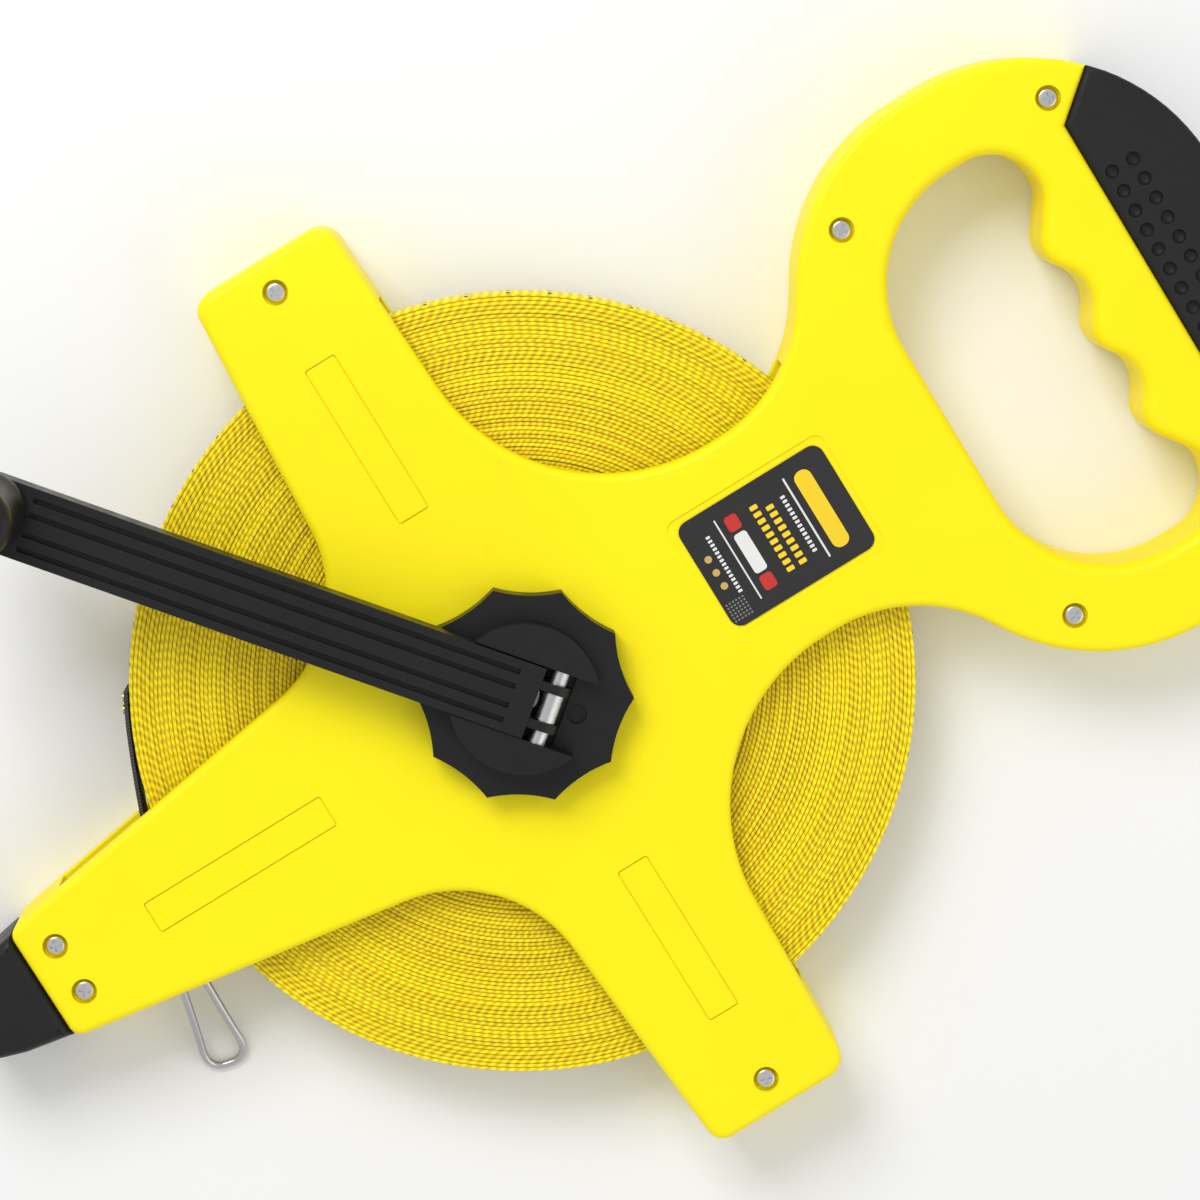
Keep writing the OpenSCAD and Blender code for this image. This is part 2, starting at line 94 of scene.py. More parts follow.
# (x, y, corner radius) of the upper half of each outline
FRAME_HALF = [(-NOSE_ARM_X, 15.2, 3.5), (-25, 33, 34), (-18.5, SIDE_REACH, 4.5),
              (18.8, SIDE_REACH, 5.5), (22.6, 27, 48), (92.4, 27, 38),
              (121, HANDLE_HALF, 50), (HANDLE_X - 3, HANDLE_HALF, 50)]
OPENING_HALF = [(120.3, 52.5, 31), (168, 52.5, 13), (168, 36.5, 8),
                (BUMP_X, FINGER_PITCH, BUMP_R), (167.3, FINGER_PITCH / 2, 9)]
NOSE_HALF = [(-NOSE_ARM_X - 0.1, 14.4, 0), (-NOSE_ARM_X - 12, 12.2, 14),
             (-NOSE_ARM_X - 23.5, 8.4, 7.5)]

# what only the looks have, in mm
SPACING = 6   # longest stretch between two points of an outline
EDGE_R = 1.9
OPENING_EDGE_R = 3.0
SEAM = 0.25
WELD = 0.002   # points closer than this become one


# ---- outlines ----
def rounded_corner(a, b, c, radius):
    """Points of the arc that rounds the corner b between a and c."""
    if radius == 0:
        return [tuple(b[:2])]
    a, b, c = Vector(a[:2]), Vector(b[:2]), Vector(c[:2])
    u = (a - b).normalized()
    v = (c - b).normalized()
    half = u.angle(v) / 2
    centre = b + (u + v).normalized() * radius / math.sin(half)
    start = b + u * radius / math.tan(half) - centre
    end = b + v * radius / math.tan(half) - centre
    first = math.atan2(start.y, start.x)
    sweep = (math.atan2(end.y, end.x) - first + 3 * math.pi) % TAU - math.pi
    steps = max(3, math.ceil(abs(math.degrees(sweep)) / ARC_STEP))
    angles = [first + sweep * i / steps for i in range(steps + 1)]
    return [(centre.x + radius * math.cos(t), centre.y + radius * math.sin(t)) for t in angles]


def rounded_outline(corners):
    n = len(corners)
    points = []
    for i, corner in enumerate(corners):
        points += rounded_corner(corners[i - 1], corner, corners[(i + 1) % n], corner[2])
    return points


def mirrored(half, middle):
    """A counter-clockwise outline from its upper half and the corners between the halves."""
    lower = [(x, -y, r) for x, y, r in half]
    return lower + middle + half[::-1]


def rectangle(x0, x1, y0, y1, radius):
    return rounded_outline([(x0, y0, radius), (x1, y0, radius), (x1, y1, radius), (x0, y1, radius)])


def circle(x, y, radius, count=32):
    return [(x + radius * math.cos(TAU * i / count), y + radius * math.sin(TAU * i / count))
            for i in range(count)]


def inset(loop, distance):
    """The loop moved towards its left side, which is inwards on a counter-clockwise one."""
    n = len(loop)
    moved = []
    for i, p in enumerate(loop):
        p = Vector(p)
        before = (p - Vector(loop[i - 1])).normalized()
        after = (Vector(loop[(i + 1) % n]) - p).normalized()
        n1 = Vector((-before.y, before.x))
        n2 = Vector((-after.y, after.x))
        sharpest = 0.3   # keeps a sharp corner from moving too far
        shift = (n1 + n2) * distance / max(sharpest, 1 + n1.dot(n2))
        moved.append((p.x + shift.x, p.y + shift.y))
    return moved


def split_where(loop, test, gap=0.02):
    """Adds two points, a hair apart, on each edge where test changes its value."""
    n = len(loop)
    out = []
    for i, a in enumerate(loop):
        b = loop[(i + 1) % n]
        out.append(a)
        if test(a) == test(b):
            continue
        low, high = 0.0, 1.0
        halvings = 30
        for _ in range(halvings):
            t = (low + high) / 2
            same = test(mix(a, b, t)) == test(a)
            low, high = (t, high) if same else (low, t)
        hair = gap / max(gap * 3, (Vector(b) - Vector(a)).length)
        out += [mix(a, b, low - hair), mix(a, b, high + hair)]
    return out


def mix(a, b, t):
    return tuple(p + (q - p) * t for p, q in zip(a, b))


def clear_of_ends(points, reach):
    """Drops the points that lie close to either end, so that the end corners stay clean."""
    ends = Vector(points[0]), Vector(points[-1])
    middle = [p for p in points if min((Vector(p) - end).length for end in ends) > reach]
    return [points[0]] + middle + [points[-1]]


def densify(loop, longest):
    n = len(loop)
    out = []
    for i, a in enumerate(loop):
        b = loop[(i + 1) % n]
        parts = max(1, math.ceil((Vector(b) - Vector(a)).length / longest))
        out += [mix(a, b, k / parts) for k in range(parts)]
    return out


# ---- meshes ----
class Form:
    """Collects rings of points and the faces between them."""

    def __init__(self):
        self.points = []
        self.faces = []

    def ring(self, loop, z):
        heights = z if isinstance(z, list) else [z] * len(loop)
        start = len(self.points)
        self.points += [(x, y, h) for (x, y), h in zip(loop, heights)]
        return list(range(start, len(self.points)))

    def bridge(self, low, high):
        n = len(low)
        for i in range(n):
            j = (i + 1) % n
            self.faces.append((low[i], low[j], high[j], high[i]))

    def cap(self, *rings):
        """Fills the flat region that an odd number of the rings surround."""
        flat = []
        index = []
        edges = []
        for ring in rings:
            start = len(flat)
            flat += [Vector(self.points[i][:2]) for i in ring]
            index += ring
            edges += [(start + i, start + (i + 1) % len(ring)) for i in range(len(ring))]
        verts, _, faces, origin, _, _ = delaunay_2d_cdt(flat, edges, [], 0, 1e-6)
        for face in faces:
            middle = sum((verts[i] for i in face), Vector((0, 0))) / len(face)
            crossings = 0
            for a, b in edges:
                p, q = flat[a], flat[b]
                if (p.y > middle.y) != (q.y > middle.y):
                    crossings += middle.x < p.x + (middle.y - p.y) * (q.x - p.x) / (q.y - p.y)
            if crossings % 2 and all(origin[i] for i in face):
                self.faces.append(tuple(index[origin[i][0]] for i in face))

    def rounded_side(self, loop, low, high, radius, outer=True, steps=4, seam=0):
        """A wall from low to high with a rounded top edge; returns its lowest and its top ring.
        A seam is a small bevel at the wall's foot, where it meets its mirror image."""
        side = 1 if outer else -1
        first = last = self.ring(inset(loop, seam * side), low)
        if seam:
            lifted = [z + seam for z in low] if isinstance(low, list) else low + seam
            last = self.ring(loop, lifted)
            self.bridge(first, last)
        for k in range(steps + 1):
            turn = math.pi / 2 * k / steps
            reach = radius * (1 - math.cos(turn)) * side
            ring = self.ring(inset(loop, reach), high - radius + radius * math.sin(turn))
            self.bridge(last, ring)
            last = ring
        return first, last

    def pocket(self, loop, top, floor, closed=True):
        """A hole with straight walls; returns its ring in the top face."""
        rim = self.ring(loop, top)
        low = self.ring(loop, floor)
        self.bridge(low, rim)
        if closed:
            self.cap(low)
        return rim

    def dish(self, x, y, radius, top, depth, count=20):
        """A round hollow with a curved bottom; returns its rim."""
        rim = last = self.ring(circle(x, y, radius, count), top)
        steps = 5
        for k in range(1, steps):
            turn = math.pi / 2 * k / steps
            loop = circle(x, y, radius * math.cos(turn), count)
            ring = self.ring(loop, top - depth * math.sin(turn))
            self.bridge(ring, last)
            last = ring
        self.cap(last)
        return rim

    def groove(self, loop, width, top, depth):
        """A shallow line pressed into the top face; returns its two rings there."""
        inner = inset(loop, width)
        outer_rim, inner_rim = self.ring(loop, top), self.ring(inner, top)
        outer_low, inner_low = self.ring(loop, top - depth), self.ring(inner, top - depth)
        self.bridge(outer_low, outer_rim)
        self.bridge(inner_low, inner_rim)
        self.cap(outer_low, inner_low)
        return [outer_rim, inner_rim]

    def lathe(self, profile, count=72, at=(0, 0)):
        """Turns (radius, z) points about a vertical axis, closed at both ends."""
        rings = [self.ring(circle(at[0], at[1], r, count), z) for r, z in profile]
        for low, high in zip(rings, rings[1:]):
            self.bridge(low, high)
        self.cap(rings[0])
        self.cap(rings[-1])

    def flip(self, z):
        """Turns the form upside down about the height z."""
        self.points = [(x, y, 2 * z - h) for x, y, h in self.points]

    def mirror(self, z):
        """Adds the form's mirror image below the height z."""
        n = len(self.points)
        self.points += [(x, y, 2 * z - h) for x, y, h in self.points]
        self.faces += [tuple(i + n for i in face) for face in self.faces]

    def make(self, name, body, material, angle=38):
        mesh = bpy.data.meshes.new(name)
        mesh.from_pydata([[c * MM for c in p] for p in self.points], [], self.faces)
        work = bmesh.new()
        work.from_mesh(mesh)
        bmesh.ops.remove_doubles(work, verts=work.verts, dist=WELD * MM)
        bmesh.ops.recalc_face_normals(work, faces=work.faces)
        work.to_mesh(mesh)
        work.free()
        mesh.materials.append(material)
        piece = bpy.data.objects.new(name, mesh)
        bpy.context.scene.collection.objects.link(piece)
        smooth(piece, angle)
        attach(piece, body)
        return piece


def smooth(piece, angle):
    """Smooth shading with sharp edges, where large flat faces keep their own normal."""
    piece.data.shade_smooth()
    piece.data.set_sharp_from_angle(angle=math.radians(angle))
    weighted = piece.modifiers.new("flat_faces", "WEIGHTED_NORMAL")
    weighted.keep_sharp = True


# ---- materials ----
class Nodes:
    """A material's node tree with short calls to add and link nodes."""

    def __init__(self, name):
        self.material = bpy.data.materials.new(name)
        self.material.use_nodes = True
        self.tree = self.material.node_tree
        self.shader = self.tree.nodes["Principled BSDF"]

    def link(self, value, socket):
        if isinstance(value, (int, float, tuple)):
            socket.default_value = value
        else:
            self.tree.links.new(value, socket)

    def add(self, kind, output=0, settings=None, **inputs):
        node = self.tree.nodes.new(kind)
        for key, value in (settings or {}).items():
            setattr(node, key, value)
        for key, value in inputs.items():
            self.link(value, node.inputs[int(key[1:]) if key[0] == "_" else key])
        return node.outputs[output]

    def math(self, operation, a, b=0.0):
        return self.add("ShaderNodeMath", 0, {"operation": operation}, _0=a, _1=b)

    def place(self, scale=(1, 1, 1)):
        where = self.add("ShaderNodeTexCoord", "Object")
        return self.add("ShaderNodeMapping", 0, None, Vector=where, Scale=scale)

    def noise(self, scale, detail=3.0, where=None, stretch=(1, 1, 1)):
        where = where or self.place(stretch)
        return self.add("ShaderNodeTexNoise", 0, None, Vector=where, Scale=scale, Detail=detail)

    def ramp(self, value, low, high, first, last):
        return self.add("ShaderNodeMapRange", 0, None, Value=value, _1=low, _2=high, _3=first, _4=last)

    def blend(self, factor, a, b):
        node = self.tree.nodes.new("ShaderNodeMix")
        node.data_type = "RGBA"
        self.link(factor, node.inputs[0])
        self.link(a, node.inputs[6])
        self.link(b, node.inputs[7])
        return node.outputs[2]

    def bump(self, height, distance, strength=1.0, normal=None):
        node = self.tree.nodes.new("ShaderNodeBump")
        node.inputs["Distance"].default_value = distance
        node.inputs["Strength"].default_value = strength
        self.link(height, node.inputs["Height"])
        if normal:
            self.link(normal, node.inputs["Normal"])
        return node.outputs[0]


def rgba(colour):
    return (*colour, 1.0)


def moulded(name, colour, shade, rough=0.4, grain=2200, depth=0.00004, coat=0.0, metal=0.0,
            stretch=(1, 1, 1), spread=0.08, gloss=0.5):
    """Moulded plastic, rubber or metal: cloudy colour, fine grain and faint rub marks."""
    n = Nodes(name)
    cloud = n.noise(18, 4.0)
    rub = n.noise(140, 6.0, stretch=(1, 3, 1))
    fine = n.noise(grain, 2.0, stretch=stretch)
    n.link(n.blend(n.ramp(cloud, 0.35, 0.7, 0.0, 1.0), rgba(colour), rgba(shade)),
           n.shader.inputs["Base Color"])
    smoothest = max(0.05, rough - spread)
    n.link(n.ramp(rub, 0.3, 0.75, smoothest, rough + spread), n.shader.inputs["Roughness"])
    n.link(n.bump(fine, depth, 0.6, n.bump(cloud, 0.0004, 0.15)), n.shader.inputs["Normal"])
    n.shader.inputs["Metallic"].default_value = metal
    n.shader.inputs["Specular IOR Level"].default_value = gloss
    n.shader.inputs["Coat Weight"].default_value = coat
    n.shader.inputs["Coat Roughness"].default_value = 0.25
    return n.material


def tape_edges():
    """Edges of a coated woven tape wound in rows, with leaning threads and printed ticks."""
    threads_per_turn = 250.0
    thread_lean = 2.2
    tick_pitch = 10   # mm along the outermost turn
    tick_width = 0.09   # share of the pitch
    tick_from, tick_to = 0.0028, 0.0062   # metres from the tape's middle
    print_depth = 0.25   # mm, so that the ticks stay on the outermost turn
    n = Nodes("tape_edges")
    where = n.add("ShaderNodeTexCoord", "Object")
    split = n.tree.nodes.new("ShaderNodeSeparateXYZ")
    n.link(where, split.inputs[0])
    x, y, z = split.outputs
    radius = n.math("SQRT", n.math("ADD", n.math("MULTIPLY", x, x), n.math("MULTIPLY", y, y)))
    turn = n.math("ARCTAN2", y, x)
    layer = n.math("FLOOR", n.math("DIVIDE", radius, TAPE_PITCH * MM))
    shift = n.add("ShaderNodeTexWhiteNoise", 0, {"noise_dimensions": "1D"}, W=layer)
    across = n.math("FRACT", n.math("DIVIDE", radius, TAPE_PITCH * MM))
    lean = n.math("MULTIPLY", across, thread_lean)
    along = n.math("ADD", n.math("MULTIPLY", turn, threads_per_turn), n.math("MULTIPLY", shift, TAU))
    threads = n.ramp(n.math("SINE", n.math("ADD", along, lean)), -0.8, 0.8, 0.0, 1.0)
    cloud = n.noise(60, 4.0)
    wear = n.noise(700, 3.0)
    row_tone = n.ramp(shift, 0.0, 1.0, -0.12, 0.16)
    tone = n.math("ADD", n.math("MULTIPLY", threads, 0.42), n.math("MULTIPLY", wear, 0.6))
    tone = n.math("ADD", tone, row_tone)
    dark, light, worn = rgba((0.66, 0.46, 0.001)), rgba((1.0, 0.86, 0.002)), rgba((0.84, 0.62, 0.003))
    colour = n.blend(n.ramp(tone, 0.2, 0.8, 0.0, 1.0), dark, light)
    colour = n.blend(n.ramp(cloud, 0.5, 0.8, 0.0, 0.3), colour, worn)
    # ticks near both edges of the outermost turn
    tick = n.math("FRACT", n.math("MULTIPLY", turn, COIL_R / tick_pitch))
    edge = n.math("ABSOLUTE", n.math("SUBTRACT", z, MID_Z * MM))
    mark = n.math("MULTIPLY", n.math("LESS_THAN", tick, tick_width),
                  n.math("GREATER_THAN", edge, tick_from))
    mark = n.math("MULTIPLY", mark, n.math("GREATER_THAN", radius, (COIL_R - print_depth) * MM))
    mark = n.math("MULTIPLY", mark, n.math("LESS_THAN", edge, tick_to))
    n.link(n.blend(mark, colour, rgba((0.02, 0.02, 0.02))), n.shader.inputs["Base Color"])
    n.link(n.ramp(wear, 0.3, 0.7, 0.42, 0.62), n.shader.inputs["Roughness"])
    n.link(n.bump(tone, 0.00012, 0.7), n.shader.inputs["Normal"])
    return n.material


def webbing():
    """Black coated strap with a fine plain weave."""
    weave_scale = 420.0
    n = Nodes("webbing")
    where = n.place()
    rows = n.add("ShaderNodeTexWave", 1, {"bands_direction": "Z"}, Vector=where, Scale=weave_scale)
    across = n.add("ShaderNodeTexWave", 1, {"bands_direction": "Y"}, Vector=where, Scale=weave_scale)
    weave = n.math("MULTIPLY", rows, across)
    n.link(n.blend(weave, rgba((0.012, 0.012, 0.013)), rgba((0.05, 0.05, 0.052))),
           n.shader.inputs["Base Color"])
    n.link(n.ramp(n.noise(300), 0.3, 0.7, 0.5, 0.7), n.shader.inputs["Roughness"])
    n.link(n.bump(weave, 0.00015, 0.8), n.shader.inputs["Normal"])
    return n.material


YELLOW = moulded("frame_plastic", (0.98, 0.84, 0.0), (0.97, 0.80, 0.0), 0.5, 2600, 0.00003,
                 gloss=0.28)
BLACK = moulded("black_plastic", (0.006, 0.006, 0.0065), (0.009, 0.009, 0.0095), 0.42, 1800, 0.00006,
                gloss=0.3)
DRUM = moulded("drum_plastic", (0.03, 0.03, 0.031), (0.045, 0.045, 0.045), 0.5)
RUBBER = moulded("grip_rubber", (0.006, 0.006, 0.0065), (0.01, 0.01, 0.0105), 0.6, 1500, 0.0001,
                 gloss=0.3)
SCREW = moulded("plated_steel", (0.72, 0.72, 0.73), (0.6, 0.6, 0.61), 0.24, 900, 0.00002, metal=1.0)
STEEL = moulded("turned_steel", (0.6, 0.6, 0.61), (0.5, 0.5, 0.51), 0.32, 900, 0.00003, metal=1.0,
                stretch=(1, 1, 8))
WIRE = moulded("drawn_wire", (0.62, 0.62, 0.63), (0.46, 0.46, 0.47), 0.28, 700, 0.00003, metal=1.0)
BRASS = moulded("brass", (0.75, 0.5, 0.17), (0.6, 0.38, 0.12), 0.28, 900, 0.00002, metal=1.0)
NYLON = moulded("nylon", (0.8, 0.77, 0.68), (0.72, 0.69, 0.6), 0.45)
FILM = moulded("label_film", (0.005, 0.005, 0.0055), (0.009, 0.009, 0.0095), 0.28, 1200, 0.00002,
               coat=0.3)
INK_WHITE = moulded("ink_white", (0.8, 0.8, 0.78), (0.7, 0.7, 0.68), 0.35)
INK_YELLOW = moulded("ink_yellow", (0.95, 0.66, 0.01), (0.85, 0.58, 0.01), 0.35)
INK_RED = moulded("ink_red", (0.6, 0.03, 0.02), (0.5, 0.02, 0.015), 0.35)
INK_GOLD = moulded("ink_gold", (0.62, 0.42, 0.12), (0.5, 0.33, 0.1), 0.35)
INK_GREY = moulded("ink_grey", (0.22, 0.22, 0.22), (0.17, 0.17, 0.17), 0.4)
TAPE = tape_edges()
STRAP = webbing()


# ---- camera, light and floor ----
def look(name, data, place, target, up):
    thing = bpy.data.objects.new(name, data)
    bpy.context.scene.collection.objects.link(thing)
    back = (Vector(place) - Vector(target)).normalized()
    right = Vector(up).cross(back).normalized()
    axes = Matrix((right, back.cross(right), back)).transposed()
    thing.matrix_world = Matrix.Translation(place) @ axes.to_4x4()
    return thing


def studio():
    """The photo's view from above, two soft lamps, a white world and a pale floor."""
    turn = math.radians(31.55)
    tilt = math.radians(7.1)
    side = math.radians(1.7)
    field = math.radians(14.97)
    distance = 1.1
    image_up = Vector((math.sin(turn), math.cos(turn), 0))
    image_right = Vector((math.cos(turn), -math.sin(turn), 0))
    target = Vector((0.0267, 0.0081, 0.02))
    lean = Vector((0, 0, 1)) + image_up * math.tan(tilt)
    lean -= image_right * math.tan(side)
    camera = bpy.data.cameras.new("camera")
    camera.sensor_width = 36
    camera.lens = camera.sensor_width / 2 / math.tan(field / 2)
    shot = look("camera", camera, target + lean.normalized() * distance, target, image_up)
    bpy.context.scene.camera = shot

    def lamp(name, place, size, power):
        light = bpy.data.lights.new(name, "AREA")
        light.size = size
        light.energy = power
        look(name, light, place, (0, 0, 0.02), (0, 1, 0.01))

    lamp("key", image_up * 0.9 - image_right * 0.5 + Vector((0, 0, 1.1)), 0.7, 12)
    lamp("fill", image_right * 1.1 - image_up * 0.5 + Vector((0, 0, 0.9)), 1.2, 3.6)
    world = bpy.data.worlds.new("studio")
    world.use_nodes = True
    background = world.node_tree.nodes["Background"]
    background.inputs["Color"].default_value = (1, 1, 1, 1)
    background.inputs["Strength"].default_value = 0.68
    bpy.context.scene.world = world
    bpy.context.scene.view_settings.view_transform = "Standard"

    floor = bpy.data.meshes.new("floor")
    reach = 3.0
    floor.from_pydata([(-reach, -reach, 0), (reach, -reach, 0), (reach, reach, 0), (-reach, reach, 0)],
                      [], [(0, 1, 2, 3)])
    n = Nodes("floor")
    greys = n.blend(n.noise(3), (0.88, 0.88, 0.88, 1), (0.84, 0.84, 0.84, 1))
    n.link(greys, n.shader.inputs["Base Color"])
    n.shader.inputs["Roughness"].default_value = 0.8
    floor.materials.append(n.material)
    piece = bpy.data.objects.new("floor", floor)
    bpy.context.scene.collection.objects.link(piece)


# ---- frame shells ----
def in_grip(p):
    return p[0] > GRIP_X and abs(p[1]) < GRIP_HALF + (p[0] - GRIP_X) * GRIP_FLARE


def rim_height(p):
    """Height of the front shell's open edge: raised over the coil and at the tape's way out."""
    if math.hypot(p[0], p[1]) < CHAMBER_R:
        return CHAMBER_EDGE_Z
    if WAY_OUT_X[0] < p[0] < WAY_OUT_X[1]:
        return WAY_OUT_Z
    return MID_Z


def cut_outline():
    """The frame's outline in two parts: the yellow shells' and the grip's."""
    whole = rounded_outline(mirrored(FRAME_HALF, [(HANDLE_X + 1, 0, 110)]))
    whole = split_where(whole, in_grip, 0.001)
    inside = [p for p in whole if in_grip(p)]
    first = whole.index(inside[0])
    outside = clear_of_ends(whole[first + len(inside):] + whole[:first], 3)
    inside = clear_of_ends(inside, 4)
    shell = outside + [(GRIP_X, -GRIP_HALF), (GRIP_X, GRIP_HALF)]
    grip = [(GRIP_X + 0.1, -GRIP_HALF)] + inside + [(GRIP_X + 0.1, GRIP_HALF)]
    return shell, grip


def half_shell(front):
    """One yellow shell: a hollow tray, with the screw and label recesses only in the front one."""
    form = Form()
    outline, _ = cut_outline()
    outline = split_where(densify(outline, SPACING), rim_height)
    rims = [rim_height(p) for p in outline]
    low, top = form.rounded_side(outline, rims, FRAME_T, EDGE_R, seam=SEAM)
    inner = inset(outline, WALL)
    inner_low = form.ring(inner, rims)
    ceiling = form.ring(inner, FRAME_T - WALL)
    form.bridge(low, inner_low)
    form.bridge(ceiling, inner_low)
    opening = densify(rounded_outline(mirrored(OPENING_HALF, [(BUMP_X, 0, BUMP_R)])), SPACING)
    open_low, open_top = form.rounded_side(opening, MID_Z, FRAME_T, OPENING_EDGE_R, outer=False,
                                           steps=7, seam=SEAM)
    wall = inset(opening, -WALL)
    wall_low = form.ring(wall, MID_Z)
    wall_top = form.ring(wall, FRAME_T - WALL)
    form.bridge(open_low, wall_low)
    form.bridge(wall_low, wall_top)
    bore = circle(0, 0, HUB_BORE_R if front else CAP_BORE_R, 48)
    holes = [top, open_top, form.pocket(bore, FRAME_T, FRAME_T - WALL)]
    form.cap(ceiling, wall_top)
    for length, width, x, y in PANELS:
        panel = rectangle(x - length / 2, x + length / 2, y - width / 2, y + width / 2, 0.8)
        holes += form.groove(panel, 0.34, FRAME_T, 0.6)
    if front:
        holes += [form.pocket(circle(x, y, SCREW_RECESS_R, 40), FRAME_T, SCREW_RECESS_Z)
                  for x, y in SCREWS]
        holes.append(form.pocket(rectangle(*LABEL_RECESS), FRAME_T, FRAME_T - LABEL_DEPTH))
    form.cap(*holes)
    if not front:
        form.flip(MID_Z)
    name = "front_shell" if front else "rear_shell"
    piece = form.make(name + "_look", "frame", YELLOW)
    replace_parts(piece, name)


def handle_grip():
    """The rubber grip, with two columns of dimples on each face."""
    form = Form()
    _, outline = cut_outline()
    _, top = form.rounded_side(densify(outline, SPACING), MID_Z, FRAME_T, 1.6, steps=6)
    first_column = GRIP_X + 3.9
    column_pitch = 5.8
    row_pitch = 5.4
    dimple_r = 1.7
    dimple_depth = 1.2
    dimples = [form.dish(first_column + column_pitch * column, row_pitch * row, dimple_r, FRAME_T,
                         dimple_depth)
               for row in range(-6, 7) for column in (0, 1)]
    form.cap(top, *dimples)
    form.mirror(MID_Z)
    piece = form.make("handle_grip_look", "frame", RUBBER)
    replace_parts(piece, "handle_grip")


def nose_tip():
    """The black bumper at the nose, a little thinner than the frame."""
    form = Form()
    outline = rounded_outline(NOSE_HALF + [(x, -y, r) for x, y, r in NOSE_HALF[::-1]])
    _, top = form.rounded_side(densify(outline, SPACING / 2), MID_Z, FRAME_T - 0.6, 2.6, steps=6)
    form.cap(top)
    form.mirror(MID_Z)
    piece = form.make("nose_tip_look", "frame", BLACK)
    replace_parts(piece, "nose_tip")


def pan_screw(form, x, y, turn):
    """A rounded head with a cross in it, seated a hair above the floor of its recess."""
    seat = SCREW_RECESS_Z + 0.1
    head_top = seat + 1.8
    head_r = 2.5
    cross_floor = seat + 0.7
    shank_r = 1.5
    shank_end = 6
    _, top = form.rounded_side(circle(x, y, head_r, 40), seat, head_top, 0.8, steps=5)
    arm, half = 1.4, 0.36   # length and half width of the cross's arms
    corners = [(half, half), (half, arm), (-half, arm), (-half, half), (-arm, half), (-arm, -half),
               (-half, -half), (-half, -arm), (half, -arm), (half, -half), (arm, -half), (arm, half)]
    c, s = math.cos(turn), math.sin(turn)
    cross = [(x + c * u - s * v, y + s * u + c * v) for u, v in corners]
    form.cap(top, form.pocket(cross, head_top, cross_floor))
    form.lathe([(shank_r, shank_end), (shank_r, seat)], 24, (x, y))


def screws():
    """The eight screws, each with its cross at a turn of its own."""
    turns = random.Random(4)
    groups = {"handle_screws": SCREWS[:4], "side_arm_screws": SCREWS[4:6], "nose_screws": SCREWS[6:]}
    for name, places in groups.items():
        form = Form()
        for x, y in places:
            pan_screw(form, x, y, turns.uniform(0, math.pi))
        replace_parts(form.make(name + "_look", "frame", SCREW, 30), name)


# ---- label: generic bars and ticks in place of the print ----
def label():
    top = FRAME_T
    floor = top - LABEL_DEPTH
    form = Form()
    outline = rectangle(*LABEL_PLATE)
    _, face = form.rounded_side(outline, floor, top, 0.12, steps=2)
    form.cap(face)
    form.cap(form.ring(outline, floor))
    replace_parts(form.make("label_look", "frame", FILM), "label_plate")

    def prints(name, material, boxes):
        """Raised ink: each box is (x0, x1, y0, y1, corner radius)."""
        ink_low, ink_high = top - 0.05, top + 0.04
        ink = Form()
        for box in boxes:
            patch = rectangle(*box)
            _, face = ink.rounded_side(patch, ink_low, ink_high, 0.02, steps=1)
            ink.cap(face)
            ink.cap(ink.ring(patch, ink_low))
        ink.make(name, "frame", material)

    def row(x0, x1, y0, y1, count, fill, radius):
        """Dashes side by side, where fill is a dash's share of its step."""
        step = (y1 - y0) / count
        return [(x0, x1, y0 + step * i, y0 + step * (i + fill), radius) for i in range(count)]

    prints("label_yellow", INK_YELLOW, [(81.4, 85.8, -10.5, 10.5, 2)]
           + row(72.2, 74.2, -9, 8, 9, 0.62, 0.3) + row(68.8, 70.8, -9, 10, 10, 0.62, 0.3))
    prints("label_white", INK_WHITE, [(79.1, 79.6, -11, 11, 0.2), (59.9, 60.3, -11, 11, 0.15)]
           + row(76.4, 77.6, -8, 8, 14, 0.6, 0.2) + row(56.2, 57.3, -7, 9, 15, 0.6, 0.2)
           + [(62, 65.4, -5.4, 5.4, 0.9)])
    prints("label_red", INK_RED, [(62, 65.4, 6.2, 10.2, 0.9), (62, 65.4, -10.2, -6.2, 0.9)])
    prints("label_gold", INK_GOLD, [(53.2, 55, y, y + 1.8, 0.88) for y in (-4.6, -0.9, 2.8)])
    dot, dot_pitch = 0.5, 0.9
    dots = [(51.8 + dot_pitch * i, -12.8 + dot_pitch * j) for i in range(6) for j in range(6)]
    prints("label_grey", INK_GREY, [(x, x + dot, y, y + dot, 0.2) for x, y in dots])


# ---- tape ----
def tape_coil():
    """Both faces of the wound tape, row by row, with the rows standing a little uneven."""
    rand = random.Random(11)
    rows = int((COIL_R - CORE_R) / TAPE_PITCH)
    spokes = 360
    half = TAPE_W / 2
    crest = half - 0.12
    # how far a row's edge sinks at each share of its width
    row_shape = [(0.05, 0.6), (0.2, 0.08), (0.5, 0.0), (0.8, 0.08), (0.95, 0.6)]
    form = Form()
    inner, outer = [], []
    for side in (1, -1):
        last = None
        for t in range(rows):
            lift = rand.uniform(-0.45, 0.0) + (-0.5 if rand.random() < 0.12 else 0)
            wave = rand.uniform(0.02, 0.12)
            phase = rand.uniform(0, TAU)
            cycles = rand.choice((2, 3, 5))
            for part, sink in row_shape:
                loop = []
                heights = []
                for i in range(spokes):
                    a = TAU * i / spokes
                    r = CORE_R + TAPE_PITCH * (t + part)
                    z = crest + lift - sink + wave * math.sin(cycles * a + phase)
                    loop.append((r * math.cos(a), r * math.sin(a)))
                    heights.append(MID_Z + side * min(half, z))
                ring = form.ring(loop, heights)
                if last:
                    form.bridge(last, ring)
                else:
                    inner.append(ring)
                last = ring
        outer.append(last)
    form.bridge(inner[1], inner[0])
    form.bridge(outer[1], outer[0])
    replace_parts(form.make("tape_coil_look", "drum", TAPE, 50), "tape_coil")


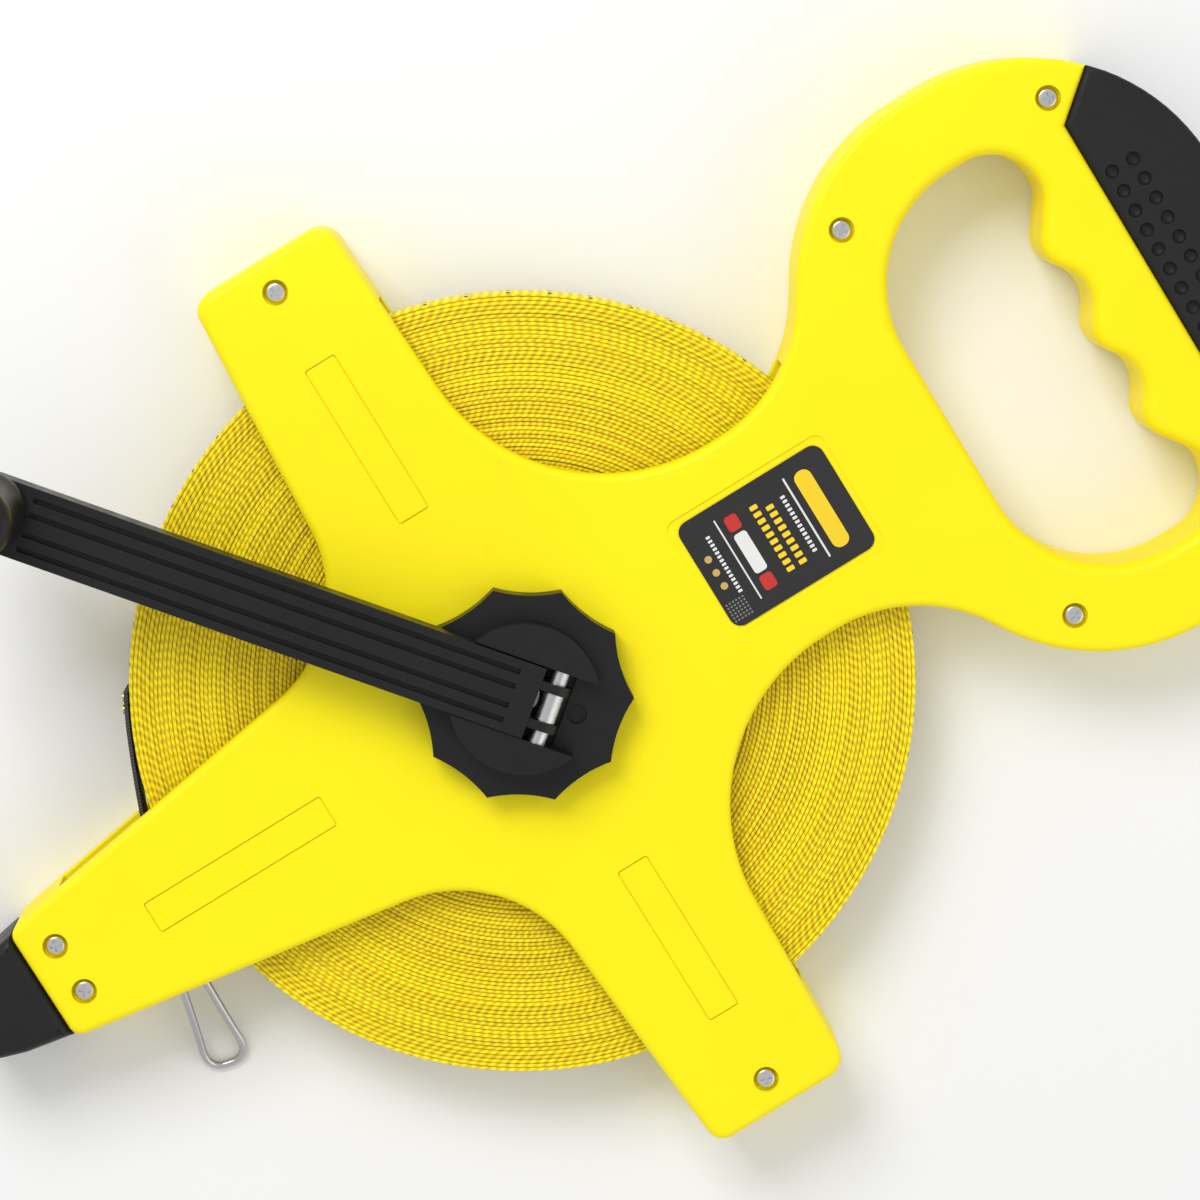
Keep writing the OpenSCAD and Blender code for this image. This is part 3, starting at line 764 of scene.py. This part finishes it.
def pull_ring():
    """Bent wire ring, hung in the eyelet and drooping to the ground."""
    half = [(0, 0), (1.7, 0), (2.15, -0.5), (2.5, -2.5), (3.1, -8), (3.7, -15), (4.4, -22),
            (4.9, -26.5), (4.55, -29.3), (3.3, -31.1), (1.6, -31.85)]
    path = half + [(0, -31.95)] + [(-x, y) for x, y in half[:0:-1]]
    smooth_path = []
    n = len(path)
    parts = 4   # a curve through the path's points, with this many steps between two of them
    for i in range(n):
        p0, p1, p2, p3 = (Vector(path[(i + k) % n]) for k in (-1, 0, 1, 2))
        for k in range(parts):
            t = k / parts
            smooth_path.append(0.5 * (2 * p1 + (p2 - p0) * t + (2 * p0 - 5 * p1 + 4 * p2 - p3) * t * t
                                      + (3 * p1 - p0 - 3 * p2 + p3) * t ** 3))
    place = (Matrix.Translation((*EYELET, MID_Z)) @ Matrix.Rotation(math.radians(RING_TURN), 4, "Z")
             @ Matrix.Rotation(math.radians(RING_DROOP), 4, "X"))
    form = Form()
    sides = 20
    wire_r = 1.0
    rings = []
    count = len(smooth_path)
    for i, p in enumerate(smooth_path):
        ahead = (smooth_path[(i + 1) % count] - smooth_path[i - 1]).normalized()
        out = Vector((-ahead.y, ahead.x))
        ring = []
        for k in range(sides):
            a = TAU * k / sides
            spot = place @ Vector((*(p + out * wire_r * math.cos(a)), wire_r * math.sin(a)))
            ring.append(len(form.points))
            form.points.append(tuple(spot))
        rings.append(ring)
    for i in range(count):
        form.bridge(rings[i - 1], rings[i])
    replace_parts(form.make("pull_ring_look", "ring", WIRE, 60), "pull_ring")


# ---- crank ----
def crank_knob():
    """The waisted hand knob, with a recess in its top for the cap."""
    base, top, r = KNOB_BASE_Z, KNOB_BASE_Z + KNOB_HEIGHT, KNOB_R
    profile = [(3.2, base), (r - 1.4, base), (r - 0.4, base + 0.3), (r, base + 1), (r, base + 2.6),
               (r - 0.5, base + 3.8), (r - 1.1, base + 5.5), (r - 1.5, base + 9), (r - 1.6, base + 14),
               (r - 1.5, base + 19), (r - 1.1, base + 24), (r - 0.7, base + 26.5), (r - 0.8, base + 28),
               (r - 1.5, top - 0.7), (r - 2.6, top - 0.2), (6.1, top), (5.7, top - 0.5),
               (5.65, top - 1.5)]
    c, s = math.cos(math.radians(CRANK_ANGLE)), math.sin(math.radians(CRANK_ANGLE))
    form = Form()
    form.lathe(profile, 96, (KNOB_X * c, KNOB_X * s))
    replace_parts(form.make("crank_knob_look", "knob", BLACK), "crank_knob")


def carried_over():
    """CAD nodes that keep their shape: a material and, in mm, how wide their edges are softened."""
    finishes = {
        "crank_hub": (BLACK, 0.5), "crank_arm": (BLACK, 0.35), "knob_cap": (BLACK, 0.4),
        "rear_cap": (BLACK, 0.3), "hinge_pin": (STEEL, 0.2), "hinge_sleeve": (STEEL, 0.15),
        "knob_stud": (STEEL, 0.2), "knob_washer": (STEEL, 0.05), "hub_screw": (SCREW, 0.25),
        "spindle": (STEEL, 0.2), "front_washer": (STEEL, 0), "rear_washer": (STEEL, 0),
        "front_bush": (NYLON, 0.2), "rear_bush": (NYLON, 0.2), "drum_core": (DRUM, 0.2),
        "drum_flange": (DRUM, 0.3), "flange_screws": (SCREW, 0.2), "tape_anchor_pin": (STEEL, 0.1),
        "leader_eyelet": (BRASS, 0.12), "leader_rivets": (BRASS, 0.15), "tape_leader": (STRAP, 0.12)}
    for name, (material, edge) in finishes.items():
        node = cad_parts[name]
        for slot in node.material_slots:
            slot.material = material
        if edge:
            bevel = node.modifiers.new("soft_edges", "BEVEL")
            bevel.width = edge * MM
            bevel.segments = 3
            bevel.limit_method = "ANGLE"
            bevel.angle_limit = math.radians(32)
            bevel.use_clamp_overlap = True
            bevel.harden_normals = True


studio()
half_shell(front=True)
half_shell(front=False)
handle_grip()
nose_tip()
screws()
label()
tape_coil()
pull_ring()
crank_knob()
carried_over()
